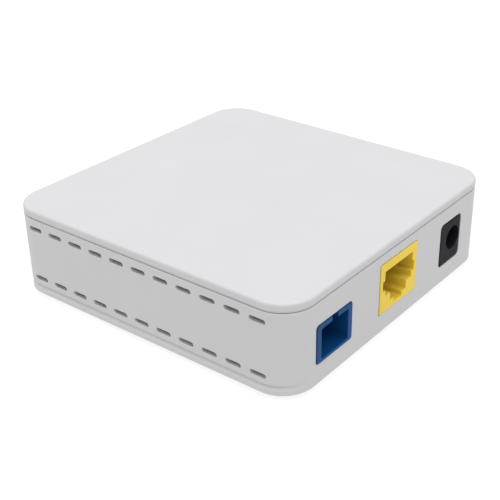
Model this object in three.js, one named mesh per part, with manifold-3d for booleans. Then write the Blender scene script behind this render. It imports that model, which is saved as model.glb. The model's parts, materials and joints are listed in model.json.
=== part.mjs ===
// Optical network terminal: a small square fibre modem with a fibre socket, a network socket and
// a power inlet on its port face. Millimetres, +Z up. The port face looks along -Y and the vented
// sides along -X and +X. The origin is on the resting surface, in the middle of the outline.

import * as THREE from "three";
import { mergeVertices } from "three/addons/utils/BufferGeometryUtils.js";
import Module from "manifold-3d";

const wasm = await Module();
wasm.setup();

// Casing
const CASE_SIDE = 82; // along X and along Y
const CASE_HEIGHT = 22.15;
const CORNER_RADIUS = 8;
const WALL = 2;
const FLOOR = 1.8;
const COVER_EDGE = 2; // height of the cover's visible edge
const COVER_FILLET = 0.7;
const SEAM_GAP = 0.3;
const LIP_HEIGHT = 1.8; // the cover's locating lip inside the walls
const LIP_THICKNESS = 1.2;
const JOIN_DEPTH = 0.5; // how far joined solids run into each other
const BOTTOM_FILLET = 0.3;
const CREASE_LEVELS = [1.75, 2.3]; // a shallow groove round the foot, above the casing's underside
const CREASE_DEPTH = 0.3;
const FIT_GAP = 0.3; // clearance between pieces that fit in each other
const SEAT_GAP = 0.05; // solder or adhesive under a piece that sits on another

// Feet and label
const FOOT_PROUD = 1;
const FOOT_RADIUS = 4;
const FOOT_RECESS = 0.6;
const FOOT_SPREAD = 30;
const LABEL_SIZE = [42, 24];
const LABEL_RECESS = 0.5;
const LABEL_THICKNESS = 0.2;

// Side vents: two rows of round-ended slots
const VENT_COUNT = 11;
const VENT_PITCH = 6.5;
const VENT_LENGTH = 4.25;
const VENT_HEIGHT = 1.3;
const VENT_ROWS = [4.35, 17.35]; // above the casing's underside

// Levels
const BASE_BOTTOM = FOOT_PROUD;
const COVER_TOP = BASE_BOTTOM + CASE_HEIGHT;
const COVER_BOTTOM = COVER_TOP - COVER_EDGE;
const BASE_TOP = COVER_BOTTOM - SEAM_GAP;
const FLOOR_TOP = BASE_BOTTOM + FLOOR;
const INSIDE = CASE_SIDE / 2 - WALL; // from the middle to a wall's inner face

// Circuit board
const BOARD_THICKNESS = 1.6;
const BOARD_BOTTOM = FLOOR_TOP + 1.1;
const BOARD_TOP = BOARD_BOTTOM + BOARD_THICKNESS;
const BOARD_HALF_WIDTH = 37;
const BOARD_FRONT = -38.2;
const BOARD_BACK = 36;
const SCREW_PLACES = [[-33.5, -12], [33.5, -6], [-33, 22], [33, 22]];
const SCREW_RADIUS = 0.95;
const SCREW_HEAD = [2.2, 1.4]; // radius, height
const SCREW_LENGTH = 3.2;
const BOSS_RADIUS = 2.5;
const PILOT_FLOOR = 0.9; // left under the screws' blind holes

// Snap hooks that hold the cover: X of each, and the side of the casing it is on
const HOOKS = [[-13.9, -1], [13, -1], [-30, 1], [30, 1]];
const HOOK_WIDTH = 6;
const HOOK_TIP = 15;
const HOOK_BARB = [16.4, 0.7]; // level of the barb's flat top, and how far it stands out
const CATCH_DEPTH = 0.9;

// Fibre socket (SC), seen from the front: width, height, corner radius
const SC = { x: -25.9, z: 10.8, width: 12.8, height: 9.2, radius: 0.7, proud: 0.2, depth: 16.8 };
const SC_AXIS_DROP = 0.2; // the socket's axis is a little below the middle of its shell
const SC_MOUTH = [9.7, 7.4];
const SC_CAVITY = 14.3;
const SC_KEYWAY = [2, 8]; // width and depth of the slot in the top wall
const SLEEVE_FRONT = 7.5;
const SLEEVE_RADII = [1.25, 1.6];
const HOLDER_RADII = [1.9, 2.3];
const HOLDER_FLANGE = [12.5, 14];
const LATCH_ARM = { inner: 3.3, outer: 4, tip: 7.4, root: 12.15, hook: 2.7, halfHeight: 1.5 };

// Network socket (RJ45)
const RJ = { x: -0.7, z: 12.3, width: 15.3, height: 12.5, radius: 0.3, proud: 0.2, depth: 21 };
const RJ_TOP_RIM = 2.1;
const RJ_CAVITY = 13.5;
// Half width of the mouth, and how far below its top that width ends
const RJ_STEPS = [[5.85, 2.3], [6.65, 4.9], [5.55, 6.3], [3.4, 8.4], [1.7, 9.4]];
const CONTACT_COUNT = 8;
const CONTACT_PITCH = 1.02;
const CONTACT_WIDTH = 0.35;
const CONTACT_THICKNESS = 0.3;

// Power inlet (5.5 x 2.1 mm barrel)
const DC = { x: 23.5, z: 11.45, width: 9.4, height: 10.9, radius: 1, proud: 0, depth: 14.5 };
const DC_WORKS = [1.15, -0.6]; // the bore, pin and leaf sit beside the middle of the shell: X and Z
const DC_BORE = { radius: 3, z: 1, depth: 9.5 };
const DC_PIN_RADIUS = 1.05;
const DC_PIN_FRONT = 3.2;

// Lamps and reset switch, on the face opposite the ports
const LED_XS = [-9, -3, 3, 9];
const LED_Y = 33;
const PIPE_LEVEL = 11.9;
const PIPE_RADIUS = 1;
const RESET_X = 20;
const RESET_LEVEL = 7.3;
const RESET_HOLE_RADIUS = 1;

// Smoothness: arc steps are half the straight pieces in an arc
const CORNER_STEPS = 4;
const VENT_STEPS = 2;
const SMALL_STEPS = 1;
const ROUND_SIDES = 24;
const SMALL_SIDES = 12;
const OVERSHOOT = 1; // how far a cutter runs past what it cuts

function plastic(color, roughness = 0.5) {
  return new THREE.MeshStandardMaterial({ color, roughness, metalness: 0, flatShading: true });
}

function metal(color, roughness = 0.35) {
  return new THREE.MeshStandardMaterial({ color, roughness, metalness: 1, flatShading: true });
}

const materials = {
  shell: plastic(0xe6e6e8),
  rubber: plastic(0x2c2d30, 0.85),
  label: plastic(0xd8d8d4, 0.6),
  clear: plastic(0xdfe9ee, 0.15),
  board: plastic(0x1d5a36, 0.45),
  chip: plastic(0x1c1c1f, 0.55),
  pad: plastic(0x8fa3b5, 0.9),
  ceramic: plastic(0xf2efe6, 0.3),
  blue: plastic(0x2f5f9e, 0.4),
  yellow: plastic(0xe0c040, 0.45),
  black: plastic(0x242526, 0.5),
  led: plastic(0xe9e3b8, 0.3),
  aluminium: metal(0xa9adb2),
  steel: metal(0xb8b8b8),
  gold: metal(0xd9b25c, 0.25),
};

// ---- Solids ----

function solid(geometry) {
  const bare = geometry.clone();
  bare.deleteAttribute("normal");
  bare.deleteAttribute("uv");
  const merged = mergeVertices(bare);
  const vertProperties = new Float32Array(merged.attributes.position.array);
  const triVerts = new Uint32Array(merged.index.array);
  return new wasm.Manifold(new wasm.Mesh({ numProp: 3, vertProperties, triVerts }));
}

function join(solids) {
  return solids.reduce((whole, next) => whole.add(next));
}

function cut(body, cutters) {
  return cutters.reduce((rest, cutter) => rest.subtract(cutter), body);
}

function block([x0, x1], [y0, y1], [z0, z1]) {
  const geometry = new THREE.BoxGeometry(x1 - x0, y1 - y0, z1 - z0);
  geometry.translate((x0 + x1) / 2, (y0 + y1) / 2, (z0 + z1) / 2);
  return solid(geometry);
}

// Where a drawing's own X, Y and depth point when it is extruded along each axis
const DRAWING_AXES = {
  x: [[0, 1, 0], [0, 0, 1], [1, 0, 0]],
  y: [[1, 0, 0], [0, 0, 1], [0, -1, 0]],
  z: [[1, 0, 0], [0, 1, 0], [0, 0, 1]],
};

function turnTo(geometry, axis) {
  const [across, up, along] = DRAWING_AXES[axis].map((direction) => new THREE.Vector3(...direction));
  return geometry.applyMatrix4(new THREE.Matrix4().makeBasis(across, up, along));
}

// A shape drawn in the two other axes (Y and Z, X and Z, or X and Y), from one level to another
function extrude(shape, axis, [from, to], curveSegments = SMALL_STEPS) {
  const options = { depth: to - from, bevelEnabled: false, curveSegments };
  const geometry = new THREE.ExtrudeGeometry(shape, options);
  geometry.translate(0, 0, axis === "y" ? -to : from);
  return solid(turnTo(geometry, axis));
}

// A round bar along an axis, centred on a point of the two other axes
function rod(radius, axis, [from, to], [across, up], sides = ROUND_SIDES) {
  const geometry = new THREE.CylinderGeometry(radius, radius, to - from, sides);
  geometry.rotateX(Math.PI / 2);
  const middle = (from + to) / 2;
  geometry.translate(across, up, axis === "y" ? -middle : middle);
  return solid(turnTo(geometry, axis));
}

function tube([inner, outer], axis, span, centre, sides = ROUND_SIDES) {
  const bore = [span[0] - OVERSHOOT, span[1] + OVERSHOOT];
  return cut(rod(outer, axis, span, centre, sides), [rod(inner, axis, bore, centre, sides)]);
}

// A rectangle with round corners; the front pair of corners may have its own reach along Y
function roundedRect(width, depth, radius, frontReach = radius) {
  const x = width / 2 - radius;
  const back = depth / 2 - radius;
  const front = -depth / 2 + frontReach;
  const quarter = Math.PI / 2;
  const shape = new THREE.Shape();
  shape.absellipse(x, front, radius, frontReach, -quarter, 0);
  shape.absarc(x, back, radius, 0, quarter);
  shape.absarc(-x, back, radius, quarter, 2 * quarter);
  shape.absellipse(-x, front, radius, frontReach, 2 * quarter, 3 * quarter);
  return shape;
}

function polygon(points) {
  return new THREE.Shape(points.map(([u, v]) => new THREE.Vector2(u, v)));
}

// The outline of a thin strip whose middle line runs through the points
function ribbon(points, thickness) {
  const path = points.map(([u, v]) => new THREE.Vector2(u, v));
  const offsets = path.map((point, i) => {
    const before = point.clone().sub(path[Math.max(i - 1, 0)]).normalize();
    const after = path[Math.min(i + 1, path.length - 1)].clone().sub(point).normalize();
    const along = before.add(after).normalize();
    return new THREE.Vector2(-along.y, along.x).multiplyScalar(thickness / 2);
  });
  const left = path.map((point, i) => point.clone().add(offsets[i]));
  const right = path.map((point, i) => point.clone().sub(offsets[i]));
  return new THREE.Shape([...right, ...left.reverse()]);
}

function piece(name, body, material) {
  const { numProp, vertProperties, triVerts } = body.getMesh();
  const geometry = new THREE.BufferGeometry();
  geometry.setAttribute("position", new THREE.BufferAttribute(new Float32Array(vertProperties), numProp));
  geometry.setIndex(new THREE.BufferAttribute(new Uint32Array(triVerts), 1));
  geometry.computeVertexNormals();
  const mesh = new THREE.Mesh(geometry, material);
  mesh.name = name;
  return mesh;
}

function grow(span, amount) {
  return [span[0] - amount, span[1] + amount];
}

function around(middle, size) {
  return [middle - size / 2, middle + size / 2];
}

// ---- Casing ----

function hookSpan(x, gap = 0) {
  return around(x, HOOK_WIDTH + 2 * gap);
}

function snapHook([x, side]) {
  const outer = INSIDE - FIT_GAP;
  const [barbLevel, barbReach] = HOOK_BARB;
  const profile = [
    [outer - LIP_THICKNESS, HOOK_TIP],
    [outer - 0.4, HOOK_TIP],
    [outer + barbReach, barbLevel - 0.3],
    [outer + barbReach, barbLevel],
    [outer, barbLevel],
    [outer, COVER_BOTTOM + JOIN_DEPTH],
    [outer - LIP_THICKNESS, COVER_BOTTOM + JOIN_DEPTH],
  ];
  const hook = extrude(polygon(profile), "x", hookSpan(x));
  return side > 0 ? hook : hook.mirror([0, 1, 0]);
}

function catchPocket([x, side]) {
  const depth = [side * (INSIDE - OVERSHOOT), side * (INSIDE + CATCH_DEPTH)].sort((a, b) => a - b);
  const level = [HOOK_TIP - FIT_GAP, HOOK_BARB[0] + FIT_GAP];
  return block(hookSpan(x, FIT_GAP), depth, level);
}

// A plate whose outer edge is rounded off at both its faces
function roundedPlate(outline, [from, to], fillet) {
  const geometry = new THREE.ExtrudeGeometry(outline, {
    depth: to - from - 2 * fillet,
    curveSegments: CORNER_STEPS,
    bevelThickness: fillet,
    bevelSize: fillet,
    bevelOffset: -fillet,
    bevelSegments: 3,
  });
  geometry.translate(0, 0, from + fillet);
  return solid(geometry);
}

// Everything between two levels, wider than the casing
function slab(levels) {
  const wide = grow([0, 0], CASE_SIDE);
  return block(wide, wide, levels);
}

function coverPlate() {
  const outline = roundedRect(CASE_SIDE, CASE_SIDE, CORNER_RADIUS);
  const below = COVER_BOTTOM - COVER_EDGE;
  const plate = roundedPlate(outline, [below, COVER_TOP], COVER_FILLET);
  return cut(plate, [slab([below - OVERSHOOT, COVER_BOTTOM])]);
}

function topCover() {
  const lipSide = 2 * (INSIDE - FIT_GAP);
  const lipRadius = CORNER_RADIUS - WALL - FIT_GAP;
  const lipLevels = [COVER_BOTTOM - LIP_HEIGHT, COVER_BOTTOM + JOIN_DEPTH];
  const holeSide = lipSide - 2 * LIP_THICKNESS;
  const holeRadius = lipRadius - LIP_THICKNESS;
  const holeShape = roundedRect(holeSide, holeSide, holeRadius);
  const hole = extrude(holeShape, "z", grow(lipLevels, OVERSHOOT), CORNER_STEPS);
  const ring = extrude(roundedRect(lipSide, lipSide, lipRadius), "z", lipLevels, CORNER_STEPS);
  const lip = cut(ring, [hole]);
  const body = join([coverPlate(), lip, ...HOOKS.map(snapHook)]);
  return piece("top_cover", body, materials.shell);
}

function ventShape(y, z) {
  const radius = VENT_HEIGHT / 2;
  const reach = VENT_LENGTH / 2 - radius;
  const quarter = Math.PI / 2;
  const shape = new THREE.Shape();
  shape.absarc(y + reach, z, radius, -quarter, quarter);
  shape.absarc(y - reach, z, radius, quarter, 3 * quarter);
  return shape;
}

function ventCutters() {
  const cutters = [];
  for (const row of VENT_ROWS) {
    for (let i = 0; i < VENT_COUNT; i += 1) {
      const y = (i - (VENT_COUNT - 1) / 2) * VENT_PITCH;
      const across = grow([0, 0], CASE_SIDE / 2 + OVERSHOOT);
      cutters.push(extrude(ventShape(y, BASE_BOTTOM + row), "x", across, VENT_STEPS));
    }
  }
  return cutters;
}

// A hole in the port wall for one of the sockets
function portCutter(port) {
  const shape = roundedRect(port.width + 2 * FIT_GAP, port.height + 2 * FIT_GAP, port.radius + FIT_GAP);
  const hole = extrude(shape, "y", [-CASE_SIDE / 2 - OVERSHOOT, -INSIDE + OVERSHOOT]);
  return hole.translate([port.x, 0, port.z]);
}

function footPlaces() {
  return [[-1, -1], [1, -1], [-1, 1], [1, 1]].map(([x, y]) => [x * FOOT_SPREAD, y * FOOT_SPREAD]);
}

function undersideCutters() {
  const feet = footPlaces().map((place) => {
    return rod(FOOT_RADIUS + FIT_GAP, "z", [BASE_BOTTOM - OVERSHOOT, BASE_BOTTOM + FOOT_RECESS], place);
  });
  const [width, depth] = LABEL_SIZE;
  const label = roundedRect(width + 2 * FIT_GAP, depth + 2 * FIT_GAP, 1.5);
  return [...feet, extrude(label, "z", [BASE_BOTTOM - OVERSHOOT, BASE_BOTTOM + LABEL_RECESS])];
}

function backFaceCutters() {
  const through = [INSIDE - OVERSHOOT, CASE_SIDE / 2 + OVERSHOOT];
  const lamps = LED_XS.map((x) => rod(PIPE_RADIUS + FIT_GAP, "y", through, [x, PIPE_LEVEL], SMALL_SIDES));
  return [...lamps, rod(RESET_HOLE_RADIUS, "y", through, [RESET_X, RESET_LEVEL], SMALL_SIDES)];
}

// A groove round three sides of the casing, which runs out on the port face
function creaseCutter() {
  const [width, depth] = [CASE_SIDE - 2 * CREASE_DEPTH, CASE_SIDE - CREASE_DEPTH + SEAT_GAP];
  const core = roundedRect(width, depth, CORNER_RADIUS - CREASE_DEPTH, CORNER_RADIUS + SEAT_GAP);
  const levels = CREASE_LEVELS.map((level) => BASE_BOTTOM + level);
  const kept = extrude(core, "z", grow(levels, OVERSHOOT), CORNER_STEPS);
  return cut(slab(levels), [kept.translate([0, -(CREASE_DEPTH + SEAT_GAP) / 2, 0])]);
}

function baseShell() {
  const wallShape = roundedRect(CASE_SIDE, CASE_SIDE, CORNER_RADIUS);
  const above = BASE_TOP + 2 * BOTTOM_FILLET;
  const plate = roundedPlate(wallShape, [BASE_BOTTOM, above], BOTTOM_FILLET);
  const walls = cut(plate, [slab([BASE_TOP, above + OVERSHOOT])]);
  const cavityShape = roundedRect(2 * INSIDE, 2 * INSIDE, CORNER_RADIUS - WALL);
  const cavity = extrude(cavityShape, "z", [FLOOR_TOP, BASE_TOP + OVERSHOOT], CORNER_STEPS);
  const bosses = SCREW_PLACES.map((place) => {
    return rod(BOSS_RADIUS, "z", [FLOOR_TOP - JOIN_DEPTH, BOARD_BOTTOM - FIT_GAP], place);
  });
  const pilots = SCREW_PLACES.map((place) => {
    return rod(SCREW_RADIUS + FIT_GAP, "z", [BASE_BOTTOM + PILOT_FLOOR, BOARD_BOTTOM], place, SMALL_SIDES);
  });
  const tray = cut(walls, [cavity]);
  const body = cut(join([tray, ...bosses]), [
    ...pilots,
    ...ventCutters(),
    ...[SC, RJ, DC].map(portCutter),
    ...HOOKS.map(catchPocket),
    ...backFaceCutters(),
    ...undersideCutters(),
    creaseCutter(),
  ]);
  return piece("base_shell", body, materials.shell);
}

function rubberFeet() {
  return footPlaces().map((place, i) => {
    const top = BASE_BOTTOM + FOOT_RECESS - FIT_GAP;
    return piece(`rubber_foot_${i + 1}`, rod(FOOT_RADIUS, "z", [0, top], place), materials.rubber);
  });
}

function ratingLabel() {
  const [width, depth] = LABEL_SIZE;
  const sheet = extrude(roundedRect(width, depth, 1.2), "z", [BASE_BOTTOM, BASE_BOTTOM + LABEL_THICKNESS]);
  return piece("rating_label", sheet, materials.label);
}

// ---- Circuit board ----

function mainBoard() {
  const outline = roundedRect(2 * BOARD_HALF_WIDTH, BOARD_BACK - BOARD_FRONT, 3);
  const sheet = extrude(outline, "z", [BOARD_BOTTOM, BOARD_TOP]);
  const holes = SCREW_PLACES.map((place) => {
    return rod(SCREW_RADIUS + FIT_GAP, "z", grow([BOARD_BOTTOM, BOARD_TOP], OVERSHOOT), place, SMALL_SIDES);
  });
  const tails = dcTailPlaces().map(({ x, y, z }) => block(grow(x, FIT_GAP), grow(y, FIT_GAP), z));
  const placed = sheet.translate([0, (BOARD_BACK + BOARD_FRONT) / 2, 0]);
  return piece("main_board", cut(placed, [...holes, ...tails]), materials.board);
}

function boardScrews() {
  return SCREW_PLACES.map((place, i) => {
    const seat = BOARD_TOP + SEAT_GAP;
    const [headRadius, headHeight] = SCREW_HEAD;
    const head = rod(headRadius, "z", [seat, seat + headHeight], place);
    const shank = rod(SCREW_RADIUS, "z", [seat - SCREW_LENGTH, seat + 0.5], place, SMALL_SIDES);
    const slot = around(0, 0.5);
    const cross = [[around(0, 2.4), slot], [slot, around(0, 2.4)]].map(([x, y]) => {
      const top = [seat + headHeight - 0.6, seat + headHeight + OVERSHOOT];
      return block(x, y, top).translate([place[0], place[1], 0]);
    });
    return piece(`pcb_screw_${i + 1}`, cut(head.add(shank), cross), materials.steel);
  });
}

// Chips and other block-shaped parts: name, middle X, middle Y, width, depth, height, material
const BLOCK_PARTS = [
  ["main_chip", 2, 8, 14, 14, 1.2, "chip"],
  ["memory_chip", 23, 9, 8, 13, 1.1, "chip"],
  ["flash_chip", -17, 15, 5.2, 5.3, 1.7, "chip"],
  ["laser_driver_chip", -25, 0, 5, 5, 0.9, "chip"],
  ["power_converter_chip", 23, -19, 4, 3.6, 1.1, "chip"],
  ["ethernet_transformer", -0.5, -13, 12.6, 7.4, 5.6, "chip"],
  ["inductor_1", 30, -17, 6, 6, 3.2, "chip"],
  ["inductor_2", 15, -17, 5, 5, 3, "chip"],
  ["clock_crystal", -17.5, 6, 11.4, 4.8, 3.6, "steel"],
];

function boardPart([name, x, y, width, depth, height, material]) {
  const seat = BOARD_TOP + SEAT_GAP;
  const corner = Math.min(width, depth) * 0.06;
  const body = extrude(roundedRect(width, depth, corner), "z", [seat, seat + height]);
  return piece(name, body.translate([x, y, 0]), materials[material]);
}

function thermalPad() {
  const [, x, y, width, depth, height] = BLOCK_PARTS[0];
  const bottom = BOARD_TOP + 2 * SEAT_GAP + height;
  const pad = block(around(x, width - 1), around(y, depth - 1), [bottom, bottom + 0.8]);
  return piece("thermal_pad", pad, materials.pad);
}

function heatsink() {
  const [, x, y, , , height] = BLOCK_PARTS[0];
  const bottom = BOARD_TOP + 3 * SEAT_GAP + height + 0.8;
  const side = 22;
  const plate = block(around(x, side), around(y, side), [bottom, bottom + 1.5]);
  const finCount = 6;
  const finThickness = 1;
  const fins = [];
  for (let i = 0; i < finCount; i += 1) {
    const finX = x + (i / (finCount - 1) - 0.5) * (side - finThickness);
    fins.push(block(around(finX, finThickness), around(y, side), [bottom + 1, bottom + 7]));
  }
  return piece("heatsink", join([plate, ...fins]), materials.aluminium);
}

function capacitors() {
  return [[13.3, -27.5], [33, -29]].map((place, i) => {
    const seat = BOARD_TOP + SEAT_GAP;
    const foot = block(around(place[0], 6.6), around(place[1], 6.6), [seat, seat + 0.9]);
    const can = rod(3.15, "z", [seat + 0.5, seat + 7.7], place);
    return piece(`electrolytic_capacitor_${i + 1}`, foot.add(can), materials.aluminium);
  });
}

function statusLamps() {
  return LED_XS.map((x, i) => {
    const seat = BOARD_TOP + SEAT_GAP;
    const lamp = block(around(x, 2), around(LED_Y, 1.25), [seat, seat + 0.8]);
    return piece(`status_led_${i + 1}`, lamp, materials.led);
  });
}

// One clear moulding: four legs over the lamps, each turning through a slope to its window
function lightPipe() {
  const low = BOARD_TOP + 1.4;
  const top = PIPE_LEVEL + PIPE_RADIUS;
  const [near, far] = around(LED_Y, 2 * PIPE_RADIUS);
  const bend = polygon([[near, low], [far, low], [far, top], [near + 1.4, top], [near, top - 1.4]]);
  const legs = LED_XS.map((x) => extrude(bend, "x", around(x, 2 * PIPE_RADIUS)));
  const windows = LED_XS.map((x) => {
    return rod(PIPE_RADIUS, "y", [far - 0.5, CASE_SIDE / 2], [x, PIPE_LEVEL], SMALL_SIDES);
  });
  const ends = [LED_XS[0], LED_XS[LED_XS.length - 1]];
  const bridge = block(ends, [far + 0.6, far + 2.2], around(PIPE_LEVEL, 1.4));
  return piece("light_pipe", join([...legs, ...windows, bridge]), materials.clear);
}

const RESET_BODY = { width: 6, front: 32, back: 35.6, height: 3.5 };
const RESET_PLUNGER = { width: 2.6, height: 1.4, front: 34.2, back: 37.6 };

function resetSwitch() {
  const seat = BOARD_TOP + SEAT_GAP;
  const { width, front, back, height } = RESET_BODY;
  const cell = block(around(RESET_X, width), [front, back], [seat, seat + height]);
  const socketWidth = around(RESET_X, RESET_PLUNGER.width + 0.4);
  const socketHeight = around(RESET_LEVEL, RESET_PLUNGER.height + 0.4);
  const socket = block(socketWidth, [RESET_PLUNGER.front - 0.6, back + OVERSHOOT], socketHeight);
  const stem = block(
    around(RESET_X, RESET_PLUNGER.width),
    [RESET_PLUNGER.front, RESET_PLUNGER.back],
    around(RESET_LEVEL, RESET_PLUNGER.height),
  );
  return [
    piece("reset_switch_body", cut(cell, [socket]), materials.steel),
    piece("reset_switch_plunger", stem, materials.black),
  ];
}

// ---- Fibre socket and optical module: Y runs inwards from the socket's front face ----

function portShell(port) {
  return extrude(roundedRect(port.width, port.height, port.radius), "y", [0, port.depth]);
}

function scHousing() {
  const [mouthWidth, mouthHeight] = SC_MOUTH;
  const mouthShape = roundedRect(mouthWidth, mouthHeight, 0.5);
  const mouth = extrude(mouthShape, "y", [-OVERSHOOT, SC_CAVITY]).translate([0, 0, -SC_AXIS_DROP]);
  const [keyWidth, keyDepth] = SC_KEYWAY;
  const keyway = block(around(0, keyWidth), [-OVERSHOOT, keyDepth], [0, SC.height]);
  const boreSpan = [SC_CAVITY - OVERSHOOT, SC.depth + OVERSHOOT];
  const bore = rod(SLEEVE_RADII[1] + FIT_GAP, "y", boreSpan, [0, -SC_AXIS_DROP]);
  return piece("sc_receptacle_housing", cut(portShell(SC), [mouth, keyway, bore]), materials.blue);
}

function sleeveHolder() {
  const [mouthWidth, mouthHeight] = SC_MOUTH;
  const flangeShape = roundedRect(mouthWidth - 2 * FIT_GAP, mouthHeight - 2 * FIT_GAP, 0.4);
  const flange = extrude(flangeShape, "y", HOLDER_FLANGE);
  const [inner, outer] = HOLDER_RADII;
  const barrel = rod(outer, "y", [SLEEVE_FRONT, HOLDER_FLANGE[1]], [0, 0]);
  const bore = rod(inner, "y", [0, SC.depth], [0, 0]);
  return piece("sc_sleeve_holder", cut(flange.add(barrel), [bore]), materials.ceramic);
}

function ferruleSleeve() {
  const ring = tube(SLEEVE_RADII, "y", [SLEEVE_FRONT + 0.3, SC.depth], [0, 0]);
  return piece("ferrule_sleeve", ring, materials.ceramic);
}

// A springy arm beside the sleeve whose hook holds the plug; side is -1 or 1
function latchArm(name, side) {
  const { inner, outer, tip, root, hook, halfHeight } = LATCH_ARM;
  const inside = [[inner, root], [inner, tip + 1.1], [hook, tip + 0.9], [inner, tip]];
  const outline = polygon([...inside, [outer, tip], [outer, root]]);
  const arm = extrude(outline, "z", [-halfHeight, halfHeight]);
  return piece(name, side > 0 ? arm : arm.mirror([1, 0, 0]), materials.ceramic);
}

function terminalPins(axis, span, places) {
  return places.map((place) => rod(0.25, axis, span, place, 8));
}

function opticalModule() {
  const start = SC.depth + FIT_GAP;
  const barrelEnd = start + 9;
  const crossY = start + 4.5;
  const barrel = join([
    rod(2.6, "y", [start, start + 1.5], [0, 0]),
    rod(3.6, "y", [start + 1, barrelEnd], [0, 0]),
    rod(3, "x", [0, 4.3], [crossY, 0]),
  ]);
  const pinRing = [[0.9, 0.9], [-0.9, 0.9], [0.9, -0.9], [-0.9, -0.9]];
  const laser = join([
    rod(2.8, "y", [barrelEnd + SEAT_GAP, barrelEnd + 1.2], [0, 0]),
    rod(2.3, "y", [barrelEnd + 1, barrelEnd + 4], [0, 0]),
    ...terminalPins("y", [barrelEnd + 3.5, barrelEnd + 7], pinRing),
  ]);
  const detector = join([
    rod(2.7, "x", [4.3 + SEAT_GAP, 5.4], [crossY, 0]),
    rod(2.2, "x", [5, 7.8], [crossY, 0]),
    ...terminalPins("x", [7.5, 10.5], pinRing.map(([y, z]) => [crossY + y, z])),
  ]);
  return [
    piece("bosa_body", barrel, materials.steel),
    piece("laser_can", laser, materials.gold),
    piece("photodiode_can", detector, materials.gold),
  ];
}

function fibreSocket() {
  const group = new THREE.Group();
  group.position.set(SC.x, -CASE_SIDE / 2 - SC.proud, SC.z);
  const inside = new THREE.Group();
  inside.position.z = -SC_AXIS_DROP;
  inside.add(sleeveHolder(), ferruleSleeve(), ...opticalModule());
  inside.add(latchArm("sc_latch_arm_left", -1), latchArm("sc_latch_arm_right", 1));
  group.add(scHousing(), inside);
  return group;
}

// ---- Network socket ----

const RJ_MOUTH_TOP = RJ.height / 2 - RJ_TOP_RIM;
const CARRIER = { halfWidth: 5.5, front: 14.3, back: 20.4, bottom: -6, top: 4.1 };
const TONGUE = { halfWidth: 4.5, front: 2.8, bottom: 4.85, top: 5.35 };

function mouthOutline() {
  const right = [];
  let level = RJ_MOUTH_TOP;
  for (const [halfWidth, end] of RJ_STEPS) {
    right.push([halfWidth, level]);
    level = RJ_MOUTH_TOP - end;
    right.push([halfWidth, level]);
  }
  const left = right.map(([x, z]) => [-x, z]).reverse();
  return polygon([...left, ...right].reverse());
}

function rjHousing() {
  const mouth = extrude(mouthOutline(), "y", [-OVERSHOOT, RJ_CAVITY]);
  const carrierRoom = block(
    grow([0, 0], CARRIER.halfWidth + FIT_GAP),
    [RJ_CAVITY - 0.5, RJ.depth + OVERSHOOT],
    [-RJ.height, CARRIER.top + FIT_GAP],
  );
  const tongueRoom = block(
    grow([0, 0], TONGUE.halfWidth + FIT_GAP),
    [TONGUE.front - FIT_GAP, RJ.depth + OVERSHOOT],
    [CARRIER.top - JOIN_DEPTH, TONGUE.top + FIT_GAP],
  );
  return piece("rj45_housing", cut(portShell(RJ), [mouth, carrierRoom, tongueRoom]), materials.yellow);
}

function contactCarrier() {
  const { halfWidth, front, back, bottom, top } = CARRIER;
  const core = block([-halfWidth, halfWidth], [front, back], [bottom, top]);
  const tongueWidth = grow([0, 0], TONGUE.halfWidth);
  const tongue = block(tongueWidth, [TONGUE.front, back], [TONGUE.bottom, TONGUE.top]);
  const neck = block(tongueWidth, [front, back], [top - 0.5, TONGUE.bottom + 0.3]);
  return piece("rj45_contact_carrier", join([core, tongue, neck]), materials.black);
}

// Each contact is a springy finger: it starts under the tongue near the mouth and slopes inwards
function contactFingers() {
  const profile = ribbon([[3.4, 4.4], [9.4, 3.1], [10.6, 2.98]], CONTACT_THICKNESS);
  const fingers = [];
  for (let i = 0; i < CONTACT_COUNT; i += 1) {
    const x = (i - (CONTACT_COUNT - 1) / 2) * CONTACT_PITCH;
    const finger = extrude(profile, "x", around(x, CONTACT_WIDTH));
    fingers.push(piece(`rj45_contact_${i + 1}`, finger, materials.gold));
  }
  return fingers;
}

function networkSocket() {
  const group = new THREE.Group();
  group.position.set(RJ.x, -CASE_SIDE / 2 - RJ.proud, RJ.z);
  group.add(rjHousing(), contactCarrier(), ...contactFingers());
  return group;
}

// ---- Power inlet ----

const DC_LEAF = { halfWidth: 1.2, thickness: 0.35 };
const DC_CHANNEL = { halfWidth: 1.5, bottom: -4.3, front: 1.8 };
const DC_TAIL = { halfWidth: 1.1, thickness: 0.5, end: -7.6 };
const DC_PIN_TAIL_Y = 15;
const DC_LEAF_TAIL_Y = 12.2;

function dcTail(y, top) {
  return block(grow([0, 0], DC_TAIL.halfWidth), around(y, DC_TAIL.thickness), [DC_TAIL.end, top]);
}

// The slots that the two solder tails need in the board, in the casing's frame
function dcTailPlaces() {
  return [DC_PIN_TAIL_Y, DC_LEAF_TAIL_Y].map((y) => ({
    x: grow([DC.x + DC_WORKS[0], DC.x + DC_WORKS[0]], DC_TAIL.halfWidth),
    y: around(y - CASE_SIDE / 2 - DC.proud, DC_TAIL.thickness),
    z: grow([BOARD_BOTTOM, BOARD_TOP], OVERSHOOT),
  }));
}

function dcHousing() {
  const axis = [0, DC_BORE.z];
  const bore = rod(DC_BORE.radius, "y", [-OVERSHOOT, DC_BORE.depth], axis);
  const pinRoom = rod(DC_PIN_RADIUS + FIT_GAP, "y", [0, DC.depth + OVERSHOOT], axis);
  const { halfWidth, bottom, front } = DC_CHANNEL;
  const channel = block([-halfWidth, halfWidth], [front, DC.depth - 1.5], [bottom, -1.5]);
  const drop = block([-halfWidth, halfWidth], [11.3, DC.depth - 1.5], [-DC.height, bottom + 0.5]);
  const works = join([bore, pinRoom, channel, drop]).translate([DC_WORKS[0], 0, DC_WORKS[1]]);
  return piece("dc_jack_housing", cut(portShell(DC), [works]), materials.black);
}

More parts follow.
